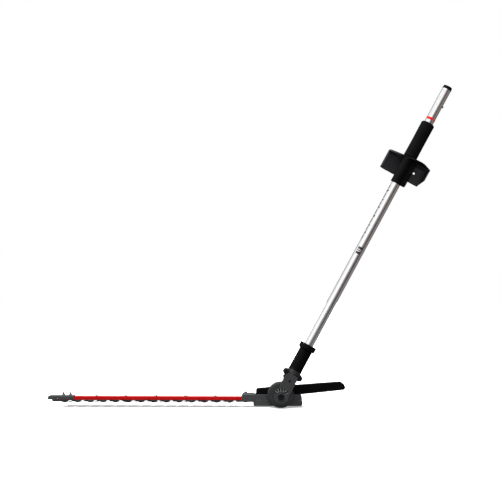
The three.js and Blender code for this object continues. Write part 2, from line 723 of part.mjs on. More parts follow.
node(head, "gearcase_upper", gearcaseUpper(), "castGrey");
node(head, "gearcase_lower", gearcaseLower(), "castGrey");
CASE_SCREWS.forEach(([x, y], i) => {
  const screwHead = barZ(3.6, CASE_BOTTOM + 0.2, CASE_BOTTOM + 2.3, x, HEAD_Y + y, 20);
  const slot = box(x - 4, x + 4, HEAD_Y + y - 0.5, HEAD_Y + y + 0.5, CASE_BOTTOM, CASE_BOTTOM + 1.2);
  const shank = barZ(1.6, CASE_BOTTOM + 2, -4, x, HEAD_Y + y, 14);
  node(head, `case_screw_${i + 1}`, join(cut(screwHead, slot), shank), "blackSteel");
});

// ---------------------------------------------------------------- gears in the head

const FACE_GEAR_NEAR = 7.2;
const FACE_GEAR_FAR = 9.9;
const FACE_GEAR_R = 15.5;
const TRANSFER_R = 5;
const TRANSFER_PINION_R = 7;
const CRANK_GEAR_TOP = -8.6;
const CRANK_GEAR_BOTTOM = -11.8;
const CRANK_R = 4;

// Radial teeth on a flat wheel's face.
function faceTeeth(count, rIn, rOut, from, to) {
  const teeth = [];
  for (let i = 0; i < count; i += 1) {
    const tooth = new THREE.BoxGeometry(rOut - rIn, 1.5, to - from);
    tooth.translate((rIn + rOut) / 2, 0, (from + to) / 2);
    teeth.push(solid(tooth.rotateZ((i * 2 * Math.PI) / count)));
  }
  return teeth;
}

function transferGear() {
  const wheel = ringZ(TRANSFER_R + 0.15, FACE_GEAR_R, 0, FACE_GEAR_FAR - FACE_GEAR_NEAR, 0, 0, 18);
  const thickness = FACE_GEAR_FAR - FACE_GEAR_NEAR;
  const toothed = cut(wheel, ...faceTeeth(18, 10.5, FACE_GEAR_R + 1, thickness - 0.9, thickness + 1));
  return toothed.rotate([90, 0, 0]).translate([0, FACE_GEAR_FAR, 0]);
}

function transferShaft() {
  const rod = barY(TRANSFER_R, FACE_GEAR_NEAR - 0.2, 30, 0, 0, 24);
  const pinion = prism(gearPoints(12, TRANSFER_PINION_R - 1.6, TRANSFER_PINION_R), XZ, 23.5, 30);
  return cut(join(rod, pinion), barY(BOLT_R + 0.2, 0, 40, 0, 0, 20));
}

function crankGear() {
  const wheel = barZ(17, CRANK_GEAR_BOTTOM, CRANK_GEAR_TOP, 0, 0, 20);
  const teeth = faceTeeth(20, 9, 16.5, CRANK_GEAR_TOP - 0.1, CRANK_GEAR_TOP + 0.9);
  const journal = barZ(CRANK_R, -23.5, CRANK_GEAR_BOTTOM + 0.5, 0, 0, 24);
  const upperCam = barZ(CAM_R, BLADE_TOP - BLADE_THICK, CRANK_GEAR_BOTTOM + 0.5, 0, CAM_THROW, 24);
  const lowerTop = BLADE_TOP - BLADE_THICK - BLADE_GAP;
  const lowerCam = barZ(CAM_R, lowerTop - BLADE_THICK, lowerTop, 0, -CAM_THROW, 24);
  return join(wheel, journal, upperCam, lowerCam, ...teeth).translate([0, HEAD_Y, 0]);
}

node(head, "transfer_gear", transferGear(), "steel");
node(head, "transfer_shaft", transferShaft(), "steel");
node(head, "crank_gear", crankGear(), "steel");
const crankBearing = ringZ(CRANK_R + 0.1, 6, -24.2, -21.2, 0, HEAD_Y, 24);
node(head, "crank_bearing", crankBearing, "brass");

// ---------------------------------------------------------------- rear handle

// Black moulding on top of the gearcase: a front block, an arch over the hub and a long grip bar.
function rearHandle() {
  const seat = CASE_TOP + FIT;
  const side = roundedShape([
    [-67.8, seat, 0],
    [57, seat, 0],
    [174, 15.5, 2],
    [178, 21, 3],
    [174.6, 31, 5],
    [165, 37, 3],
    [41, 27.6, 2],
    [22, 27, 4],
    [-22, 24, 4],
    [-37, 20.6, 4],
    [-63.5, 18.4, 2],
    [-67.4, 15, 2],
  ]);
  const body = solidOfShape(side, XZ, HEAD_Y - 14, HEAD_Y + 14, 4);
  return cut(body, barY(HUB_R + FIT, 0, 80, 0, 0, 28));
}
node(head, "rear_handle", rearHandle(), "blackPlastic");

// ---------------------------------------------------------------- blade bar and its fasteners

const barBoltX = Array.from({ length: BAR_BOLTS }, (_, i) => BAR_BOLT_FIRST - i * BAR_BOLT_PITCH);
const LOWER_TOP = BLADE_TOP - BLADE_THICK - BLADE_GAP;
const STACK_BOTTOM = LOWER_TOP - BLADE_THICK;

function holeAt(x, r) {
  return barZ(r, -30, 10, x, HEAD_Y, 12);
}

function supportBar() {
  const holes = [NOSE_BOLT_X, ...barBoltX, ...TIP_BOLT_X].map((x) => holeAt(x, BAR_BOLT_R + FIT));
  return cut(midBox(BAR_END, BAR_START, BAR_HALF, BAR_BOTTOM, BAR_TOP), ...holes);
}

// Flat-headed bolt that comes up through the blades' slots.
function bladeBolt(x, headR, top, shankR = BAR_BOLT_R - FIT) {
  const flatHead = barZ(headR - 1, STACK_BOTTOM - 2.3, STACK_BOTTOM - FIT, x, HEAD_Y, 14, headR);
  return join(flatHead, barZ(shankR, STACK_BOTTOM - 1, top, x, HEAD_Y, 10));
}

function domeNut(x) {
  const from = BAR_TOP + FIT;
  const profile = [
    [0, from],
    [5, from],
    [5, from + 2.6],
    [4.3, from + 4.4],
    [2.6, from + 5.8],
    [0, from + 6.3],
  ];
  const dome = turnedZ(profile, 12).translate([x, HEAD_Y, 0]);
  return cut(dome, barZ(BAR_BOLT_R, from - 1, from + 4, x, HEAD_Y, 10));
}

const GUARD_CAP_TOP = -2.8;
const TIP_LEFT = -641;
const TIP_RIGHT = -568;
const TIP_HALF = 17.5;

// Blunt nose that caps the bar's end: a channel over the bar and a solid block ahead of it.
function tipGuard() {
  const channel = midBox(BAR_END + 0.5, TIP_RIGHT, TIP_HALF, -11.6, GUARD_CAP_TOP);
  const front = roundedShape([
    [TIP_LEFT, BAR_BOTTOM, 1.5],
    [BAR_END - 6, BAR_BOTTOM, 0],
    [BAR_END + 1, -8.5, 0],
    [BAR_END + 1, GUARD_CAP_TOP, 0],
    [TIP_LEFT + 3, GUARD_CAP_TOP, 2],
  ]);
  const frontPlan = roundedShape([
    [TIP_LEFT, HEAD_Y - 12, 5],
    [TIP_LEFT + 12, HEAD_Y - TIP_HALF, 5],
    [BAR_END + 2, HEAD_Y - TIP_HALF, 0],
    [BAR_END + 2, HEAD_Y + TIP_HALF, 0],
    [TIP_LEFT + 12, HEAD_Y + TIP_HALF, 5],
    [TIP_LEFT, HEAD_Y + 12, 5],
  ]);
  const block = solidOfShape(front, XZ, HEAD_Y - TIP_HALF, HEAD_Y + TIP_HALF, 4)
    .intersect(solidOfShape(frontPlan, XY, -30, 10, 4));
  const overBar = midBox(BAR_END - FIT, TIP_RIGHT + 1, BAR_HALF + FIT, -40, BAR_TOP + FIT);
  const holes = TIP_BOLT_X.map((x) => holeAt(x, BAR_BOLT_R + FIT));
  return cut(join(channel, block), overBar, ...holes);
}

node(head, "blade_support_bar", supportBar(), "red");
node(head, "tip_guard", tipGuard(), "castGrey");
barBoltX.forEach((x, i) => {
  node(head, `bar_bolt_${i + 1}`, bladeBolt(x, 5.2, -3), "steel");
  node(head, `dome_nut_${i + 1}`, domeNut(x), "steel");
});
TIP_BOLT_X.forEach((x, i) => {
  node(head, `tip_bolt_${i + 1}`, bladeBolt(x, 5, 6.4), "blackSteel");
  const nut = cut(hexZ(4.6, GUARD_CAP_TOP + FIT, GUARD_CAP_TOP + 4.4, x, HEAD_Y), holeAt(x, BAR_BOLT_R));
  node(head, `tip_nut_${i + 1}`, nut, "steel");
});
node(head, "root_bolt", bladeBolt(NOSE_BOLT_X, 5.4, NOSE_TOP + 4.2), "blackSteel");
const rootNut = cut(
  hexZ(5, NOSE_TOP + FIT, NOSE_TOP + 3, NOSE_BOLT_X, HEAD_Y),
  holeAt(NOSE_BOLT_X, BAR_BOLT_R),
);
node(head, "root_nut", rootNut, "steel");

// ---------------------------------------------------------------- blades

const BLADE_FRONT = -629;
const TAIL_END = 27;
const TAIL_HALF = 18;
const UPPER_SHIFT = 15;

// One blade: a spine with teeth down both edges, slots for the bolts and a window for its cam.
function blade(top, shift) {
  const half = [[TAIL_END, TAIL_HALF], [-TAIL_END, TAIL_HALF], [-TAIL_END - 6, SPINE_HALF]];
  for (let i = 0; i < TEETH; i += 1) {
    const x = TOOTH_FIRST + shift - i * TOOTH_PITCH;
    half.push([x + TOOTH_ROOT_HALF - 1.4, SPINE_HALF]);
    half.push([x + TOOTH_TIP_HALF, TOOTH_REACH - 2.5], [x + TOOTH_TIP_HALF - 2.5, TOOTH_REACH]);
    half.push([x - TOOTH_TIP_HALF + 2.5, TOOTH_REACH], [x - TOOTH_TIP_HALF, TOOTH_REACH - 2.5]);
    half.push([x - TOOTH_ROOT_HALF + 1.4, SPINE_HALF]);
  }
  half.push([BLADE_FRONT + 9, SPINE_HALF], [BLADE_FRONT, 5]);
  const other = half.map(([x, y]) => [x, -y]).reverse();
  const outline = [...half, ...other].map(([x, y]) => [x, HEAD_Y + y]);
  const body = prism(outline, XY, top - BLADE_THICK, top);
  const slots = [NOSE_BOLT_X, ...barBoltX].map((x) => slot(x, x));
  const tipSlot = slot(TIP_BOLT_X[1], TIP_BOLT_X[0]);
  const reach = CAM_R + BLADE_TRAVEL + 0.5;
  const window = midBox(-reach - BLADE_TRAVEL, reach + BLADE_TRAVEL, CAM_R + CAM_THROW + 0.5, -30, 0);
  return cut(body, ...slots, tipSlot, window);
}

// Long hole along X that lets a bolt stay still while the blade slides.
function slot(left, right) {
  const halfWidth = BAR_BOLT_R + 0.4;
  const reach = BLADE_TRAVEL + 0.4;
  return join(
    midBox(left - reach, right + reach, halfWidth, -30, 0),
    barZ(halfWidth, -30, 0, left - reach, HEAD_Y, 8),
    barZ(halfWidth, -30, 0, right + reach, HEAD_Y, 8),
  );
}

node(head, "upper_blade", blade(BLADE_TOP, UPPER_SHIFT), "darkSteel");
node(head, "lower_blade", blade(LOWER_TOP, 0), "darkSteel");

export default attachment;
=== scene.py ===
import json
import math

import bmesh
import bpy
from mathutils import Matrix, Vector

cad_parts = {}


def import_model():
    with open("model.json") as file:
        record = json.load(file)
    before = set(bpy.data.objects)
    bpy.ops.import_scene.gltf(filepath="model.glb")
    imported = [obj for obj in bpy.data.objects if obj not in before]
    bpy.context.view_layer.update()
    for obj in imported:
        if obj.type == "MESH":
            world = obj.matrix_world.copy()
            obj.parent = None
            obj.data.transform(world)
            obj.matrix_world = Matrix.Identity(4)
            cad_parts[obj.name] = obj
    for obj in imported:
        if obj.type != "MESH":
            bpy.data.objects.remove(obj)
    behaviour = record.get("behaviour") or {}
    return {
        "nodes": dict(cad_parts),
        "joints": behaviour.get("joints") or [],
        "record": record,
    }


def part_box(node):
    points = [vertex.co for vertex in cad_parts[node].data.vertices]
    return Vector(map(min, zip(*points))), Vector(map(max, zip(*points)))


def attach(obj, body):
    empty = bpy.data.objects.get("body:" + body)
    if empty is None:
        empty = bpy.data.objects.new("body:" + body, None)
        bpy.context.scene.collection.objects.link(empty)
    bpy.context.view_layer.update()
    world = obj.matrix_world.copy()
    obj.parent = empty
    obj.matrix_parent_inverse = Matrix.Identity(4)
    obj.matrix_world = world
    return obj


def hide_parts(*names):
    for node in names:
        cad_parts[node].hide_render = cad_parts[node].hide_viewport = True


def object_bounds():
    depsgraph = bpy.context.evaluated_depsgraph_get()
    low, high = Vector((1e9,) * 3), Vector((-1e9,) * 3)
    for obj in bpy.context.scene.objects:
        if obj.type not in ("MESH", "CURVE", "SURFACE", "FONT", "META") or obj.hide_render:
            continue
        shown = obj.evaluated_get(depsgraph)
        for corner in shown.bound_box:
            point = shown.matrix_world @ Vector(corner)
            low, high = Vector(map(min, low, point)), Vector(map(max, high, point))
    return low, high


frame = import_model()
cad_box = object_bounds()

# The pole's frame: X to the right of the pole, Y away from the viewer, Z up the pole.
# The head's frame: the world's own axes, moved to the hinge. Both count in millimetres.
MM = 0.001
joints = {j["name"]: j for j in frame["joints"]}
HINGE = Vector(joints["head_articulation"]["pos_m"])
POLE_UP = Vector(joints["collar_slide"]["axis"]).normalized()
POLE_TILT = math.atan2(POLE_UP.x, POLE_UP.z)
HEAD_FRAME = Matrix.Translation(HINGE) @ Matrix.Scale(MM, 4)
POLE_FRAME = Matrix.Translation(HINGE) @ Matrix.Rotation(POLE_TILT, 4, "Y") @ Matrix.Scale(MM, 4)
BLADE_PLANE_Y = (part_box("upper_blade")[0].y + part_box("upper_blade")[1].y) / 2 / MM


# ---------------------------------------------------------------- node materials

def set_stops(color_ramp, stops):
    """Gives a colour ramp its grey levels, from (place, level) pairs."""
    while len(color_ramp.elements) < len(stops):
        color_ramp.elements.new(0.5)
    for element, (place, level) in zip(color_ramp.elements, stops):
        element.position = place
        element.color = (level, level, level, 1)


class Surface:
    """A material under construction: a Principled shader and short ways to feed it."""

    def __init__(self, name, color, rough, metal=0.0):
        self.material = bpy.data.materials.new(name)
        self.material.use_nodes = True
        self.tree = self.material.node_tree
        self.shader = self.tree.nodes["Principled BSDF"]
        self.set("Base Color", (*color, 1))
        self.set("Roughness", rough)
        self.set("Metallic", metal)
        self.coords = self.node("ShaderNodeTexCoord").outputs["Object"]
        self.normal = None

    def node(self, kind, **settings):
        made = self.tree.nodes.new(kind)
        for key, value in settings.items():
            setattr(made, key, value)
        return made

    def link(self, out, socket):
        self.tree.links.new(out, socket)

    def set(self, name, value):
        self.shader.inputs[name].default_value = value

    def along(self, turn, stretch):
        """Object coordinates turned about Y, then scaled on each axis."""
        turned = self.node("ShaderNodeMapping")
        turned.inputs["Rotation"].default_value = (0, turn, 0)
        self.link(self.coords, turned.inputs["Vector"])
        scaled = self.node("ShaderNodeMapping")
        scaled.inputs["Scale"].default_value = stretch
        self.link(turned.outputs["Vector"], scaled.inputs["Vector"])
        return scaled.outputs["Vector"]

    def noise(self, scale, detail, coords=None):
        made = self.node("ShaderNodeTexNoise")
        made.inputs["Scale"].default_value = scale
        made.inputs["Detail"].default_value = detail
        self.link(coords or self.coords, made.inputs["Vector"])
        return made.outputs["Fac"]

    def cells(self, scale):
        made = self.node("ShaderNodeTexVoronoi")
        made.inputs["Scale"].default_value = scale
        self.link(self.coords, made.inputs["Vector"])
        return made.outputs["Distance"]

    def ramp(self, value, *stops):
        """Grey levels at places along a value, as (place, level) pairs."""
        made = self.node("ShaderNodeValToRGB")
        set_stops(made.color_ramp, stops)
        self.link(value, made.inputs["Fac"])
        return made.outputs["Color"]

    def math(self, operation, a, b):
        made = self.node("ShaderNodeMath", operation=operation)
        for socket, value in zip(made.inputs, (a, b)):
            if isinstance(value, (int, float)):
                socket.default_value = value
            else:
                self.link(value, socket)
        return made.outputs["Value"]

    def mix(self, factor, a, b):
        """A colour between a and b; either may be a plain colour or a socket."""
        made = self.node("ShaderNodeMix", data_type="RGBA")
        for socket, value in zip((made.inputs[0], made.inputs[6], made.inputs[7]), (factor, a, b)):
            if isinstance(value, tuple):
                socket.default_value = (*value, 1)
            elif isinstance(value, (int, float)):
                socket.default_value = value
            else:
                self.link(value, socket)
        return made.outputs[2]

    def bump(self, height, depth, strength):
        """Adds relief of the given depth in metres to what is there already."""
        made = self.node("ShaderNodeBump")
        made.inputs["Strength"].default_value = strength
        made.inputs["Distance"].default_value = depth
        self.link(height, made.inputs["Height"])
        if self.normal:
            self.link(self.normal, made.inputs["Normal"])
        self.normal = made.outputs["Normal"]
        self.link(self.normal, self.shader.inputs["Normal"])

    def edges(self, radius):
        """1 on edges that a rounding of that radius would touch, 0 on flat ground."""
        rounded = self.node("ShaderNodeBevel", samples=4)
        rounded.inputs["Radius"].default_value = radius
        flat = self.node("ShaderNodeNewGeometry")
        dot = self.node("ShaderNodeVectorMath", operation="DOT_PRODUCT")
        self.link(rounded.outputs["Normal"], dot.inputs[0])
        self.link(flat.outputs["Normal"], dot.inputs[1])
        return self.math("SUBTRACT", 1.0, dot.outputs["Value"])

    def split(self, vector, axis):
        made = self.node("ShaderNodeSeparateXYZ")
        self.link(vector, made.inputs[0])
        return made.outputs[axis]

    def open_ground(self, reach):
        """1 on open surfaces, less in corners and recesses narrower than the reach."""
        hollow = self.node("ShaderNodeAmbientOcclusion", samples=8)
        hollow.inputs["Distance"].default_value = reach
        return hollow.outputs["AO"]

    def color_from(self, socket):
        self.link(socket, self.shader.inputs["Base Color"])

    def rough_from(self, socket):
        self.link(socket, self.shader.inputs["Roughness"])

    def metal_from(self, socket):
        self.link(socket, self.shader.inputs["Metallic"])


def shade(color, factor):
    return tuple(min(1.0, c * factor) for c in color)


def cast_paint(name="cast_grey_paint", painted_shade_behind_y=None, tone=1.0):
    """Satin dark grey paint on a die casting: faint mottle, fine texture, edges paler by wear and
    a painted highlight.

    Faces that lie behind the given place along Y are painted darker: painted shade in the recesses
    behind the front faces.
    """
    base = shade((0.034, 0.035, 0.037), tone)
    s = Surface(name, base, 0.5)
    mottle = s.noise(60, 4)
    body = s.mix(mottle, shade(base, 0.82), shade(base, 1.2))
    # Paler edges: partly paint wear, partly a painted highlight where light would catch the
    # rounded edges.
    edge_wear_and_highlight = s.ramp(s.math("MULTIPLY", s.edges(0.0017), s.noise(420, 3)), (0.02, 0.0), (0.16, 1.0))
    edged = s.mix(s.math("MULTIPLY", edge_wear_and_highlight, 0.6), body, (0.17, 0.174, 0.18))
    # Painted shade: corners and recesses narrower than the occlusion reach are darkened in the
    # colour.
    painted_corner_shade = s.ramp(s.open_ground(0.007), (0.45, 1.0), (0.95, 0.0))
    shaded = s.mix(s.math("MULTIPLY", painted_corner_shade, 0.75), edged, shade(base, 0.2))
    # Painted shade: faces behind the given place along Y are darkened, as recesses lying in shade.
    if painted_shade_behind_y:
        behind = s.math("GREATER_THAN", s.split(s.coords, "Y"), painted_shade_behind_y)
        shaded = s.mix(s.math("MULTIPLY", behind, 0.42), shaded, shade(base, 0.12))
    s.color_from(shaded)
    s.rough_from(s.ramp(s.noise(180, 3), (0.3, 0.42), (0.7, 0.58)))
    s.bump(s.noise(1100, 3), 0.00012, 0.55)
    s.set("Specular IOR Level", 0.3)
    return s.material


def black_plastic(name, far_half_light_color=None, rough=0.42, grain=1400):
    """Moulded plastic with a fine spark-eroded grain and handling gloss.

    A lighter colour is painted on the half away from the user's front, thinning out at the middle:
    painted light on the shield's inner wall.
    """
    base = (0.002, 0.002, 0.0022)
    s = Surface(name, base, rough)
    smudge = s.noise(38, 4)
    body = s.mix(smudge, shade(base, 0.8), shade(base, 1.45))
    # Painted light: the far half is painted lighter, standing in for the light that falls on the
    # shield's inner wall.
    if far_half_light_color:
        depth = s.math("ADD", s.math("MULTIPLY", s.split(s.coords, "Y"), 20.0), 0.5)
        far_half_painted_light = s.mix(smudge, shade(far_half_light_color, 0.8), shade(far_half_light_color, 1.45))
        body = s.mix(s.ramp(depth, (0.3, 0.0), (0.7, 1.0)), body, far_half_painted_light)
    s.color_from(body)
    s.rough_from(s.ramp(smudge, (0.3, rough - 0.08), (0.7, rough + 0.1)))
    s.bump(s.cells(grain), 0.00006, 0.5)
    s.bump(s.noise(grain * 0.6, 3), 0.00005, 0.5)
    s.set("Specular IOR Level", 0.04)
    return s.material


def drawn_aluminium():
    """Anodised tube: draw lines along its length, faint scuffs round it."""
    base = (0.80, 0.80, 0.81)
    s = Surface("anodised_aluminium", base, 0.18, 1.0)
    lines = s.noise(1.0, 3, s.along(-POLE_TILT, (900, 900, 6)))
    scuffs = s.noise(1.0, 5, s.along(-POLE_TILT, (70, 70, 260)))
    s.color_from(s.mix(lines, shade(base, 0.94), shade(base, 1.04)))
    s.rough_from(s.ramp(scuffs, (0.35, 0.15), (0.72, 0.24)))
    s.bump(lines, 0.00001, 0.2)
    return s.material


def gloss_red():
    """Red powder coat: slight orange peel, darker where it thins on the edges."""
    base = (0.36, 0.0026, 0.003)
    s = Surface("red_powder_coat", base, 0.3)
    thin = s.ramp(s.edges(0.0008), (0.02, 0.0), (0.25, 1.0))
    tone = s.mix(s.noise(45, 3), shade(base, 0.88), shade(base, 1.08))
    s.color_from(s.mix(s.math("MULTIPLY", thin, 0.45), tone, (0.16, 0.004, 0.004)))
    s.rough_from(s.ramp(s.noise(120, 3), (0.3, 0.24), (0.7, 0.4)))
    s.bump(s.noise(420, 2), 0.00009, 0.5)
    s.set("Specular IOR Level", 0.12)
    s.set("Coat Weight", 0.04)
    s.set("Coat Roughness", 0.15)
    return s.material


def blade_steel():
    """Ground, oiled blade steel: grinding lines, a cloudy film, dark at grazing angles too."""
    base = (0.13, 0.155, 0.165)
    s = Surface("ground_blade_steel", base, 0.3, 1.0)
    lines = s.noise(1.0, 2, s.along(0, (1600, 25, 400)))
    film = s.noise(28, 5)
    s.color_from(s.mix(film, shade(base, 0.6), shade(base, 1.35)))
    s.rough_from(s.ramp(film, (0.35, 0.22), (0.7, 0.42)))
    s.bump(lines, 0.00003, 0.4)
    s.set("Specular Tint", (0.12, 0.13, 0.14, 1))
    return s.material


def honed_edge():
    """The ground bevels of the teeth, a little lighter than the blade and as dull as it."""
    base = (0.19, 0.2, 0.205)
    s = Surface("honed_steel", base, 0.34, 1.0)
    s.color_from(s.mix(s.noise(300, 3), shade(base, 0.75), shade(base, 1.12)))
    s.bump(s.noise(1.0, 2, s.along(0, (300, 2200, 300))), 0.00003, 0.5)
    s.set("Specular Tint", (0.2, 0.21, 0.22, 1))
    return s.material


def zinc_plate(name="zinc_plate", base=(0.62, 0.64, 0.66)):
    """Bright plated fasteners, a little uneven."""
    s = Surface(name, base, 0.24, 1.0)
    patch = s.noise(260, 4)
    s.color_from(s.mix(patch, shade(base, 0.78), shade(base, 1.1)))
    s.rough_from(s.ramp(patch, (0.3, 0.18), (0.75, 0.36)))
    s.bump(s.noise(2400, 2), 0.00002, 0.3)
    return s.material


def indexing_steel():
    """Dark hardened steel whose edges are painted near-white and made less metallic: a painted
    glint.
    """
    base = (0.030, 0.031, 0.033)
    metal = 0.8
    s = Surface("indexing_steel", base, 0.45, metal)
    # Painted glint: edges are painted near-white and made non-metal, so they shine under any
    # light.
    painted_glint_edges = s.ramp(s.edges(0.0014), (0.01, 0.0), (0.1, 1.0))
    hardened = s.mix(s.noise(300, 3), shade(base, 0.7), shade(base, 1.5))
    s.color_from(s.mix(painted_glint_edges, hardened, (0.9, 0.92, 0.93)))
    s.metal_from(s.math("SUBTRACT", metal, s.math("MULTIPLY", painted_glint_edges, metal)))
    s.rough_from(s.ramp(s.noise(240, 3), (0.3, 0.32), (0.7, 0.5)))
    s.bump(s.noise(900, 3), 0.00003, 0.4)
    return s.material


def black_oxide():
    """Blackened steel fasteners, finely mottled, with little gloss."""
    base = (0.004, 0.004, 0.0045)
    s = Surface("black_oxide", base, 0.38)
    s.set("Specular IOR Level", 0.15)
    s.color_from(s.mix(s.noise(500, 3), shade(base, 0.7), shade(base, 1.6)))
    s.rough_from(s.ramp(s.noise(700, 2), (0.3, 0.3), (0.7, 0.48)))
    s.bump(s.noise(1800, 3), 0.00003, 0.4)
    return s.material


def sintered_bronze():
    """Bearing bronze with small open pores."""
    base = (0.44, 0.27, 0.09)
    s = Surface("sintered_bronze", base, 0.42, 1.0)
    s.color_from(s.mix(s.noise(900, 3), shade(base, 0.65), shade(base, 1.15)))
    s.bump(s.cells(2600), 0.00004, 0.6)
    return s.material


def closed_cell_foam():
    """Black foam: open skin of tiny cells, no gloss."""
    base = (0.0032, 0.0032, 0.0034)
    s = Surface("closed_cell_foam", base, 0.93)
    s.color_from(s.mix(s.noise(35, 4), shade(base, 0.7), shade(base, 1.7)))
    s.bump(s.cells(950), 0.00030, 0.7)
    s.bump(s.noise(300, 4), 0.00020, 0.4)
    s.set("Specular IOR Level", 0.05)
    return s.material


def red_mark_film():
    """Matt red film of the depth band."""
    s = Surface("red_mark_film", (0.60, 0.010, 0.008), 0.5)
    s.set("Specular IOR Level", 0.15)
    s.color_from(s.mix(s.noise(160, 3), (0.5, 0.008, 0.006), (0.66, 0.014, 0.01)))
    s.bump(s.noise(500, 2), 0.00003, 0.3)
    return s.material


def label_film():
    """Plain dark sticker film with a satin lay-down texture."""
    base = (0.012, 0.012, 0.014)
    s = Surface("label_film", base, 0.3)
    s.color_from(s.mix(s.noise(90, 3), shade(base, 0.8), shade(base, 1.4)))
    s.bump(s.noise(240, 2), 0.00004, 0.3)
    return s.material


CAST = cast_paint()
PLASTIC = black_plastic("moulded_black")
# The shield's far half is painted lighter: painted light.
GUARD_PLASTIC = black_plastic("guard_black", (0.042, 0.042, 0.046), 0.5, 1100)
# The arm casting gets painted shade on the faces behind its front faces.
ARM_CAST = cast_paint("cast_grey_arm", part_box("arm_case_near")[0].y + 0.0024, 0.76)
ALUMINIUM = drawn_aluminium()
RED = gloss_red()
BLADE = blade_steel()
HONED = honed_edge()
ZINC = zinc_plate()
BLACK_STEEL = black_oxide()
BRONZE = sintered_bronze()
FOAM = closed_cell_foam()
RED_MARK = red_mark_film()
LABEL = label_film()

SLOT_MATERIALS = {
    "cast_grey": CAST,
    "black_plastic": PLASTIC,
    "black_steel": BLACK_STEEL,
    "aluminium_tube": ALUMINIUM,
    "steel": ZINC,
    "blade_steel": BLADE,
    "bronze": BRONZE,
    "red_paint": RED,
    "red_mark": RED_MARK,
    "foam": FOAM,
    "label": LABEL,
}
NODE_MATERIALS = {
    "arm_case_near": ARM_CAST,
    "guard_shield": GUARD_PLASTIC,
    "pivot_nut": zinc_plate("dull_zinc", (0.5, 0.51, 0.52)),
    "root_nut": zinc_plate("dark_zinc", (0.16, 0.17, 0.17)),
    "detent_plate": indexing_steel(),
}


# ---------------------------------------------------------------- CAD nodes and their finish

CREASE = math.radians(30)
WELD_REACH = 0.00001
FLAT_ANGLE = math.radians(0.4)
PLAIN_EDGE = 0.0003
SLOT_EDGES = {"cast_grey": 0.0009, "black_plastic": 0.0008, "black_steel": 0.0005}
NODE_EDGES = {
    "detent_plate": 0.0006,
    "rear_handle": 0.0030,
    "guard_shield": 0.0010,
    "guard_clamp_cap": 0.0012,
    "blade_support_bar": 0.0008,
    "gearcase_upper": 0.0012,
    "gearcase_lower": 0.0012,
    "tip_guard": 0.0011,
    "drive_shaft": 0.0,
    "collar_spring": 0.0,
}


def smooth_by_angle():
    """Geometry nodes that shade smooth, except over creases."""
    tree = bpy.data.node_groups.new("smooth_by_angle", "GeometryNodeTree")
    tree.interface.new_socket("Geometry", in_out="INPUT", socket_type="NodeSocketGeometry")
    tree.interface.new_socket("Geometry", in_out="OUTPUT", socket_type="NodeSocketGeometry")
    start = tree.nodes.new("NodeGroupInput")
    end = tree.nodes.new("NodeGroupOutput")
    faces = tree.nodes.new("GeometryNodeSetShadeSmooth")
    edges = tree.nodes.new("GeometryNodeSetShadeSmooth")
    edges.domain = "EDGE"
    edges.inputs["Shade Smooth"].default_value = False
    angle = tree.nodes.new("GeometryNodeInputMeshEdgeAngle")
    sharp = tree.nodes.new("FunctionNodeCompare")
    sharp.operation = "GREATER_THAN"
    sharp.inputs["B"].default_value = CREASE
    tree.links.new(start.outputs[0], faces.inputs["Geometry"])
    tree.links.new(faces.outputs[0], edges.inputs["Geometry"])
    tree.links.new(angle.outputs["Unsigned Angle"], sharp.inputs["A"])
    tree.links.new(sharp.outputs["Result"], edges.inputs["Selection"])
    tree.links.new(edges.outputs[0], end.inputs[0])
    return tree


SMOOTH = smooth_by_angle()


def soften(obj, width, segments=2):
    """Rounds an object's sharp edges by a modifier, and shades its round sides smooth."""
    weld = obj.modifiers.new("weld", "WELD")
    weld.merge_threshold = WELD_REACH
    flat = obj.modifiers.new("flat", "DECIMATE")
    flat.decimate_type = "DISSOLVE"
    flat.angle_limit = FLAT_ANGLE
    if width:
        bevel = obj.modifiers.new("edges", "BEVEL")
        bevel.width = width
        bevel.segments = segments
        bevel.limit_method = "ANGLE"
        bevel.angle_limit = CREASE
        bevel.harden_normals = False
        bevel.miter_outer = "MITER_ARC"
    shading = obj.modifiers.new("shading", "NODES")
    shading.node_group = SMOOTH
    weighted = obj.modifiers.new("normals", "WEIGHTED_NORMAL")
    weighted.keep_sharp = True
    weighted.weight = 80


def finish_cad(node, slot):
    """Gives a CAD node its material and its rounded edges."""
    obj = frame["nodes"][node]
    material = NODE_MATERIALS.get(node, SLOT_MATERIALS[slot])
    if not obj.data.materials:
        obj.data.materials.append(material)
    for slot_of_object in obj.material_slots:
        slot_of_object.link = "OBJECT"
        slot_of_object.material = material
    soften(obj, NODE_EDGES.get(node, SLOT_EDGES.get(slot, PLAIN_EDGE)))


for row in frame["record"]["subparts"]:
    finish_cad(row["node"], row["material_slot"])


# ---------------------------------------------------------------- building pieces

def put(name, data):
    """A new object in the scene."""
    obj = bpy.data.objects.new(name, data)
    bpy.context.scene.collection.objects.link(obj)
    return obj


def make_piece(name, bm, material, body, slot, *nodes, place=HEAD_FRAME):
    """Turns a bmesh in millimetres into a piece that rides on a body and stands for CAD nodes."""
    bmesh.ops.recalc_face_normals(bm, faces=bm.faces)
    mesh = bpy.data.meshes.new(name)
    bm.to_mesh(mesh)
    bm.free()
    mesh.transform(place)
    mesh.materials.append(material)
    obj = put(name, mesh)
    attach(obj, body)
    if nodes:
        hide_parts(*nodes)
    return obj


def wall(bm, lower, upper):
    """Faces between two closed rings of as many points."""
    faces = []
    for i in range(len(lower)):
        j = (i + 1) % len(lower)
        faces.append(bm.faces.new((lower[i], lower[j], upper[j], upper[i])))
    return faces


def turn_profile(bm, profile, sides):
    """A closed profile of (radius, height) points, turned once about the pole."""
    rings = []
    for step in range(sides):
        turn = 2 * math.pi * step / sides
        across, deep = math.cos(turn), math.sin(turn)
        rings.append([bm.verts.new((r * across, r * deep, height)) for r, height in profile])
    for here, there in zip(rings, rings[1:] + rings[:1]):
        wall(bm, here, there)


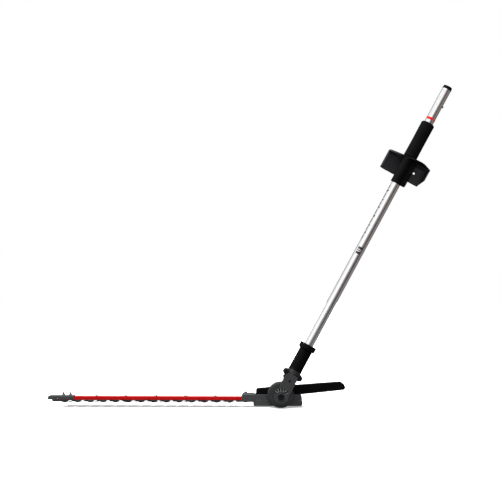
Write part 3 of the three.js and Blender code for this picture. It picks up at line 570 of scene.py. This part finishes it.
def middle_and_heights(node):
    """A node's middle along X, and its lowest and highest place, in the head's frame."""
    low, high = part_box(node)
    middle = ((low.x + high.x) / 2 - HINGE.x) / MM
    return middle, (low.z - HINGE.z) / MM, (high.z - HINGE.z) / MM


def arc(center, radius, start, end, steps):
    """Points on a round stretch, angles in degrees."""
    points = []
    for step in range(steps + 1):
        turn = math.radians(start + (end - start) * step / steps)
        points.append((center[0] + radius * math.cos(turn), center[1] + radius * math.sin(turn)))
    return points


# ---------------------------------------------------------------- soft grip

TUBE_R = 12.7
GRIP_R = 19
GRIP_START, GRIP_END = 742.2, 850
START_ROUND, END_ROUND = 2, 5  # radii of the two ends
WAIST_DEPTH = 0.35
RING_DEPTH = 0.072
RING_PHASE = 46  # radians that the rings' wave runs through over the straight length


def foam_grip():
    """Foam sleeve: slightly waisted, its rolled ends tighter, with shallow compression rings."""
    inner = TUBE_R + 0.05
    profile = [(inner, GRIP_START)]
    profile += arc((GRIP_R - START_ROUND, GRIP_START + START_ROUND), START_ROUND, -90, 0, 6)
    straight = GRIP_END - GRIP_START - (START_ROUND + END_ROUND)
    steps = 40
    for i in range(1, steps):
        share = i / steps
        waist = WAIST_DEPTH * math.sin(math.pi * share)
        ring = RING_DEPTH * math.sin(share * RING_PHASE)
        profile.append((GRIP_R - 0.1 - waist + ring, GRIP_START + START_ROUND + straight * share))
    profile += arc((GRIP_R - END_ROUND, GRIP_END - END_ROUND), END_ROUND, 0, 90, 10)
    profile.append((inner, GRIP_END))
    bm = bmesh.new()
    turn_profile(bm, profile, 96)
    grip = make_piece("soft_grip", bm, FOAM, "pole", "foam", "foam_grip", place=POLE_FRAME)
    for polygon in grip.data.polygons:
        polygon.use_smooth = True


foam_grip()


# ---------------------------------------------------------------- marks on the tube

def curved_patch(bm, low, high, start, end, inner, outer, steps):
    """A thin block that follows the tube, between two stations and two angles in degrees."""
    sections = []
    for step in range(steps + 1):
        turn = math.radians(start + (end - start) * step / steps)
        side = (math.sin(turn), -math.cos(turn))
        corners = ((inner, low), (outer, low), (outer, high), (inner, high))
        sections.append([bm.verts.new((side[0] * r, side[1] * r, z)) for r, z in corners])
    for here, there in zip(sections, sections[1:]):
        wall(bm, here, there)
    bm.faces.new(sections[0])
    bm.faces.new(sections[-1])


# Stations along the pole in mm and angles round it in degrees, 0 facing the viewer.
LABEL_FILM = (TUBE_R + 0.03, TUBE_R + 0.3)
LABEL_START, LABEL_LAST_START, LABEL_END = 482.0, 646, 649
BAR_LENGTHS = (13, 7, 10, 5, 15, 8)
BAR_GAP = 3.5
FRONT_BARS = ((440, 447, -40, 14, 8), (449, 452, -40, -4, 6), (454, 461, -40, 14, 8))
BAND_FILM = (TUBE_R + 0.02, TUBE_R + 0.3)
BAND_START, BAND_END = 859, 866
BAND_ANGLES = (44, 378)  # the band doesn't meet itself, right of the front


def tube_label():
    """Plain bars on the left of the tube in place of the printed words."""
    bm = bmesh.new()
    place, row = LABEL_START, 0
    while place < LABEL_LAST_START:
        length = BAR_LENGTHS[row % len(BAR_LENGTHS)]
        end = min(place + length, LABEL_END)
        curved_patch(bm, place, end, -80, -62, *LABEL_FILM, 4)
        if row % 2:
            short_end = min(place + length - 1, LABEL_END)
            curved_patch(bm, place + 1, short_end, -56, -48, *LABEL_FILM, 3)
        place += length + BAR_GAP
        row += 1
    for low, high, start, end, steps in FRONT_BARS:
        curved_patch(bm, low, high, start, end, *LABEL_FILM, steps)
    return make_piece(
        "tube_label_bars", bm, LABEL, "pole", "label", "pole_label", place=POLE_FRAME
    )


def depth_band():
    """The red ring that marks how deep the tube goes into its joint."""
    bm = bmesh.new()
    curved_patch(bm, BAND_START, BAND_END, *BAND_ANGLES, *BAND_FILM, 60)
    return make_piece(
        "depth_band", bm, RED_MARK, "pole", "red_mark", "depth_mark_band", place=POLE_FRAME
    )


for mark in (tube_label(), depth_band()):
    soften(mark, 0.00008, 1)


# ---------------------------------------------------------------- blades

# Places in the head's frame, in mm; X falls towards the tip.
TOOTH_PITCH = 34.5
TOOTH_COUNT = 14
LOWER_TOOTH_FIRST = -140.0
UPPER_TOOTH_FIRST = -125.0
SPINE_HALF = 13.0
TOOTH_REACH = 36.0
GRIND = 2.1  # how far the ground bevels reach in from the edge
LAND = 0.8  # how much of the edge's height stays upright
BAR_BOLT_PLACES = [-180 - 82 * i for i in range(5)]
TIP_BOLT_PLACES = [-597.6, -578.4]
ROOT_BOLT_PLACE = -96.0
BLADE_TRAVEL = 8.4
SLOT_HALF = 3.3
CAM_WINDOW = [(-21.5, -13.5), (21.5, -13.5), (21.5, 13.5), (-21.5, 13.5)]


def tooth_edge(x):
    """One tooth on the +Y edge, from its right root to its left: (x, y, inward x, inward y)."""
    points = []
    for root_x, side in ((8.6, 1), (-8.6, -1)):
        flank = [
            (x + side * 9.6, SPINE_HALF, 0.0, 0.0),
            (x + root_x + side * 0.25, SPINE_HALF + 0.5, -side * 0.4, 0.0),
            (x + root_x - side * 0.25, SPINE_HALF + 2.2, -side * GRIND * 0.8, 0.0),
            (x + side * 7.2, SPINE_HALF + 11, -side * GRIND, 0.0),
            (x + side * 6.1, TOOTH_REACH - 3.2, -side * GRIND, 0.0),
            (x + side * 5.7, TOOTH_REACH - 1.5, -side * GRIND * 0.9, -GRIND * 0.3),
            (x + side * 4.6, TOOTH_REACH - 0.4, -side * GRIND * 0.5, -GRIND * 0.6),
            (x + side * 3.2, TOOTH_REACH, -side * GRIND * 0.2, -GRIND * 0.7),
        ]
        points += flank if side == 1 else flank[::-1]
    return points


def blade_outline(first):
    """The blade's edge, right round: (x, y, inward x, inward y)."""
    half = [(27, 18, 0, 0), (-27, 18, 0, 0), (-33, SPINE_HALF, 0, 0)]
    for i in range(TOOTH_COUNT):
        half += tooth_edge(first - i * TOOTH_PITCH)
    half += [(-620, SPINE_HALF, 0, 0), (-624.5, 10.4, 1.2, -0.8), (-629, 5, 1.8, -0.4)]
    return half + [(x, -y, dx, -dy) for x, y, dx, dy in reversed(half)]


def slot_outline(left, right):
    """A slot that clears bolts at two places by the blade's travel each way."""
    points = arc((left - BLADE_TRAVEL, 0), SLOT_HALF, 90, 270, 8)
    return points + arc((right + BLADE_TRAVEL, 0), SLOT_HALF, -90, 90, 8)


def loop_at(bm, points, height):
    """The vertices and edges of a closed loop at one height."""
    verts = [bm.verts.new((x, BLADE_PLANE_Y + y, height)) for x, y in points]
    edges = [bm.edges.new((a, b)) for a, b in zip(verts, verts[1:] + verts[:1])]
    return verts, edges


def ground_blade(name, node, body, first, ground_up):
    """A blade whose teeth are ground on one face, leaving a flat land on the other."""
    _, low, high = middle_and_heights(node)
    flat, ground = (low, high) if ground_up else (high, low)
    step = LAND if ground_up else -LAND
    outline = blade_outline(first)
    full = [(x, y) for x, y, _, _ in outline]
    inset = [(x + dx, y + dy) for x, y, dx, dy in outline]
    bm = bmesh.new()
    flat_ring, flat_edges = loop_at(bm, full, flat)
    land_ring, _ = loop_at(bm, full, flat + step)
    ground_ring, ground_edges = loop_at(bm, inset, ground)
    wall(bm, flat_ring, land_ring)
    slanted = wall(bm, land_ring, ground_ring)
    for i, face in enumerate(slanted):
        j = (i + 1) % len(outline)
        if outline[i][2] or outline[j][2]:
            face.material_index = 1
    holes = [slot_outline(x, x) for x in [ROOT_BOLT_PLACE, *BAR_BOLT_PLACES]]
    holes.append(slot_outline(*TIP_BOLT_PLACES))
    holes.append(CAM_WINDOW)
    for hole in holes:
        lower, lower_edges = loop_at(bm, hole, flat)
        upper, upper_edges = loop_at(bm, hole, ground)
        wall(bm, lower, upper)
        flat_edges += lower_edges
        ground_edges += upper_edges
    bmesh.ops.triangle_fill(bm, use_beauty=True, edges=flat_edges)
    bmesh.ops.triangle_fill(bm, use_beauty=True, edges=ground_edges)
    blade = make_piece(name, bm, BLADE, body, "blade_steel", node)
    blade.data.materials.append(HONED)
    return blade


ground_blade("upper_blade_ground", "upper_blade", "upper_cutter", UPPER_TOOTH_FIRST, True)
ground_blade("lower_blade_ground", "lower_blade", "lower_cutter", LOWER_TOOTH_FIRST, False)


# ---------------------------------------------------------------- fasteners

DOME_RADIUS = 3.9
NUT_CORNER = 5.0
THREAD_LENGTH = 10.2
THREAD_PITCH = 0.8
THREAD_DEPTH = 0.32


def lathe_rings(bm, rings, center, sides=48):
    """Stacked closed rings of (height, radius at an angle); flat ends unless the radius is 0."""
    made = []
    for height, radius in rings:
        ring = []
        for step in range(sides):
            turn = 2 * math.pi * step / sides
            r = radius(turn)
            spot = (center[0] + r * math.cos(turn), center[1] + r * math.sin(turn), height)
            ring.append(bm.verts.new(spot))
        made.append(ring)
    for here, there in zip(made, made[1:]):
        wall(bm, here, there)
    bm.faces.new(made[0])
    bm.faces.new(made[-1])


def circle(radius):
    return lambda turn: radius


def hexagon(corner_radius):
    flat = corner_radius * math.cos(math.radians(30))

    def radius(turn):
        from_flat = (turn + math.radians(30)) % math.radians(60) - math.radians(30)
        return flat / math.cos(from_flat)

    return radius


def rounded_hexagon(corner_radius, limit):
    shape = hexagon(corner_radius)
    return lambda turn: min(shape(turn), limit)


def acorn_nut(node):
    """Domed nut: a chamfered hexagon under a polished dome."""
    x, low, _ = middle_and_heights(node)
    rings = [
        (low, circle(4.4)),
        (low + 0.4, rounded_hexagon(NUT_CORNER, 4.8)),
        (low + 2.3, rounded_hexagon(NUT_CORNER, 4.95)),
        (low + 2.8, circle(4.3)),
    ]
    for radius, height in arc((0, low + 2.4), DOME_RADIUS, 8, 86, 9):
        rings.append((height, circle(radius)))
    bm = bmesh.new()
    lathe_rings(bm, rings, (x, BLADE_PLANE_Y))
    nut = make_piece(f"acorn_{node}", bm, ZINC, "head", "steel", node)
    soften(nut, 0.0001, 1)


def threaded_bolt(node, head_radius, shank_radius, material, slot):
    """Flat-headed bolt with a cut thread on its upper end."""
    x, low, high = middle_and_heights(node)
    rings = [
        (low, circle(head_radius - 1.0)),
        (low + 0.3, circle(head_radius - 0.6)),
        (low + 1.7, circle(head_radius)),
        (low + 2.0, circle(head_radius - 0.1)),
        (low + 2.0, circle(shank_radius)),
    ]
    height = high - THREAD_LENGTH
    while height < high - 1.0:
        rings.append((height, circle(shank_radius)))
        rings.append((height + THREAD_PITCH / 2, circle(shank_radius - THREAD_DEPTH)))
        height += THREAD_PITCH
    rings += [(high - 0.5, circle(shank_radius)), (high, circle(shank_radius - 0.5))]
    bm = bmesh.new()
    lathe_rings(bm, rings, (x, BLADE_PLANE_Y), 32)
    bolt = make_piece(f"threaded_{node}", bm, material, "head", slot, node)
    soften(bolt, 0.0, 1)


for number in range(1, 6):
    acorn_nut(f"dome_nut_{number}")
for number in (1, 2):
    threaded_bolt(f"tip_bolt_{number}", 5.0, 2.6, BLACK_STEEL, "black_steel")
threaded_bolt("root_bolt", 5.4, 2.6, BLACK_STEEL, "black_steel")


# ---------------------------------------------------------------- camera, floor and light

CAMERA_PLACE = Vector((-0.0851, -2.8428, 0.2819))  # from the hinge
CAMERA_PITCH = 2.341
CAMERA_ROLL = 0.15
LENS = 74.9
SKY_LEVELS = ((0.0, 0.06), (0.26, 0.28), (0.44, 0.2), (0.56, 0.4), (0.68, 1.0))
BEHIND_SHARE = 0.25  # of the studio light that reaches the object from behind it
OVERHEAD_POWER = 6.5
KEY_POWER = 11
FILL_POWER = 22
FLOOR_GAP = 0.002  # below the CAD model


def aimed(place, target, axis):
    """Stands at a place with the named local axis towards a target."""
    direction = Vector(target) - Vector(place)
    return Matrix.Translation(place) @ direction.to_track_quat(axis, "Y").to_matrix().to_4x4()


def camera():
    data = bpy.data.cameras.new("camera")
    data.lens = LENS
    data.sensor_width = 36
    data.clip_end = 50
    obj = put("camera", data)
    tilt = Matrix.Rotation(math.radians(90 + CAMERA_PITCH), 4, "X")
    roll = Matrix.Rotation(math.radians(CAMERA_ROLL), 4, "Z")
    obj.matrix_world = Matrix.Translation(HINGE + CAMERA_PLACE) @ tilt @ roll
    bpy.context.scene.camera = obj


def area_light(name, place, target, size, power):
    data = bpy.data.lights.new(name, "AREA")
    data.shape = "RECTANGLE"
    data.size, data.size_y = size
    data.energy = power
    obj = put(name, data)
    obj.matrix_world = aimed(place, target, "-Z")
    return obj


def floor():
    """A pale floor just under the object, that neither lights it nor shows in its gloss."""
    bm = bmesh.new()
    bmesh.ops.create_grid(bm, x_segments=1, y_segments=1, size=30)
    mesh = bpy.data.meshes.new("floor")
    bm.to_mesh(mesh)
    bm.free()
    s = Surface("pale_floor", (0.86, 0.86, 0.86), 0.7)
    s.set("Emission Color", (1, 1, 1, 1))
    s.set("Emission Strength", 0.35)
    s.color_from(s.mix(s.noise(0.6, 2), (0.85, 0.85, 0.85), (0.88, 0.88, 0.88)))
    mesh.materials.append(s.material)
    obj = put("floor", mesh)
    obj.location.z = cad_box[0][2] - FLOOR_GAP
    obj.visible_diffuse = False
    obj.visible_glossy = False


def world():
    """White to the camera; the object gets it as studio light that mostly comes from above."""
    made = bpy.data.worlds.new("studio")
    made.use_nodes = True
    nodes, links = made.node_tree.nodes, made.node_tree.links
    background = nodes["Background"]
    direction = nodes.new("ShaderNodeSeparateXYZ")
    links.new(nodes.new("ShaderNodeTexCoord").outputs["Generated"], direction.inputs[0])
    height = nodes.new("ShaderNodeMapRange")
    height.inputs["From Min"].default_value = -1.0
    links.new(direction.outputs["Z"], height.inputs["Value"])
    sky = nodes.new("ShaderNodeValToRGB")
    set_stops(sky.color_ramp, SKY_LEVELS)
    links.new(height.outputs["Result"], sky.inputs["Fac"])
    behind = nodes.new("ShaderNodeMapRange")
    limits = {"From Min": 0.3, "From Max": 0.85, "To Min": 1.0, "To Max": BEHIND_SHARE}
    for limit, value in limits.items():
        behind.inputs[limit].default_value = value
    links.new(direction.outputs["Y"], behind.inputs["Value"])
    toned = nodes.new("ShaderNodeVectorMath")
    toned.operation = "SCALE"
    links.new(sky.outputs["Color"], toned.inputs[0])
    links.new(behind.outputs["Result"], toned.inputs["Scale"])
    seen = nodes.new("ShaderNodeMix")
    seen.data_type = "RGBA"
    seen.inputs[7].default_value = (1, 1, 1, 1)
    links.new(nodes.new("ShaderNodeLightPath").outputs["Is Camera Ray"], seen.inputs[0])
    links.new(toned.outputs["Vector"], seen.inputs[6])
    links.new(seen.outputs[2], background.inputs["Color"])
    background.inputs["Strength"].default_value = 1.0
    bpy.context.scene.world = made
    bpy.context.scene.view_settings.view_transform = "Standard"


def overhead_light():
    """A very wide soft source above, a little to the left and in front."""
    data = bpy.data.lights.new("overhead", "SUN")
    data.angle = math.radians(50)
    data.energy = OVERHEAD_POWER
    put("overhead", data).matrix_world = aimed((0, 0, 0), (0.24, 0.15, -1), "-Z")


def flag(name, place, target, size, color):
    """A studio card, seen only in reflections."""
    mesh = bpy.data.meshes.new(name)
    x, y = size[0] / 2, size[1] / 2
    mesh.from_pydata([(-x, -y, 0), (x, -y, 0), (x, y, 0), (-x, y, 0)], [], [(0, 1, 2, 3)])
    s = Surface(name, color, 0.9)
    s.color_from(s.mix(s.noise(2, 2), shade(color, 0.9), shade(color, 1.1)))
    mesh.materials.append(s.material)
    obj = put(name, mesh)
    obj.matrix_world = aimed(place, target, "Z")
    obj.visible_camera = False
    obj.visible_shadow = False
    obj.visible_diffuse = False


camera()
floor()
world()
overhead_light()
area_light("key", (-1.9, -2.6, 0.45), (-0.25, 0, -0.4), (3.4, 2.2), KEY_POWER)
fill = area_light("fill", (0.2, -2.6, -0.7), (-0.2, 0, -0.4), (2.0, 0.3), FILL_POWER)
fill.visible_glossy = False
flag("brown_card", (1.55, -2.0, -0.5), (-0.1, 0, -0.4), (1.5, 2.6), (0.24, 0.12, 0.09))
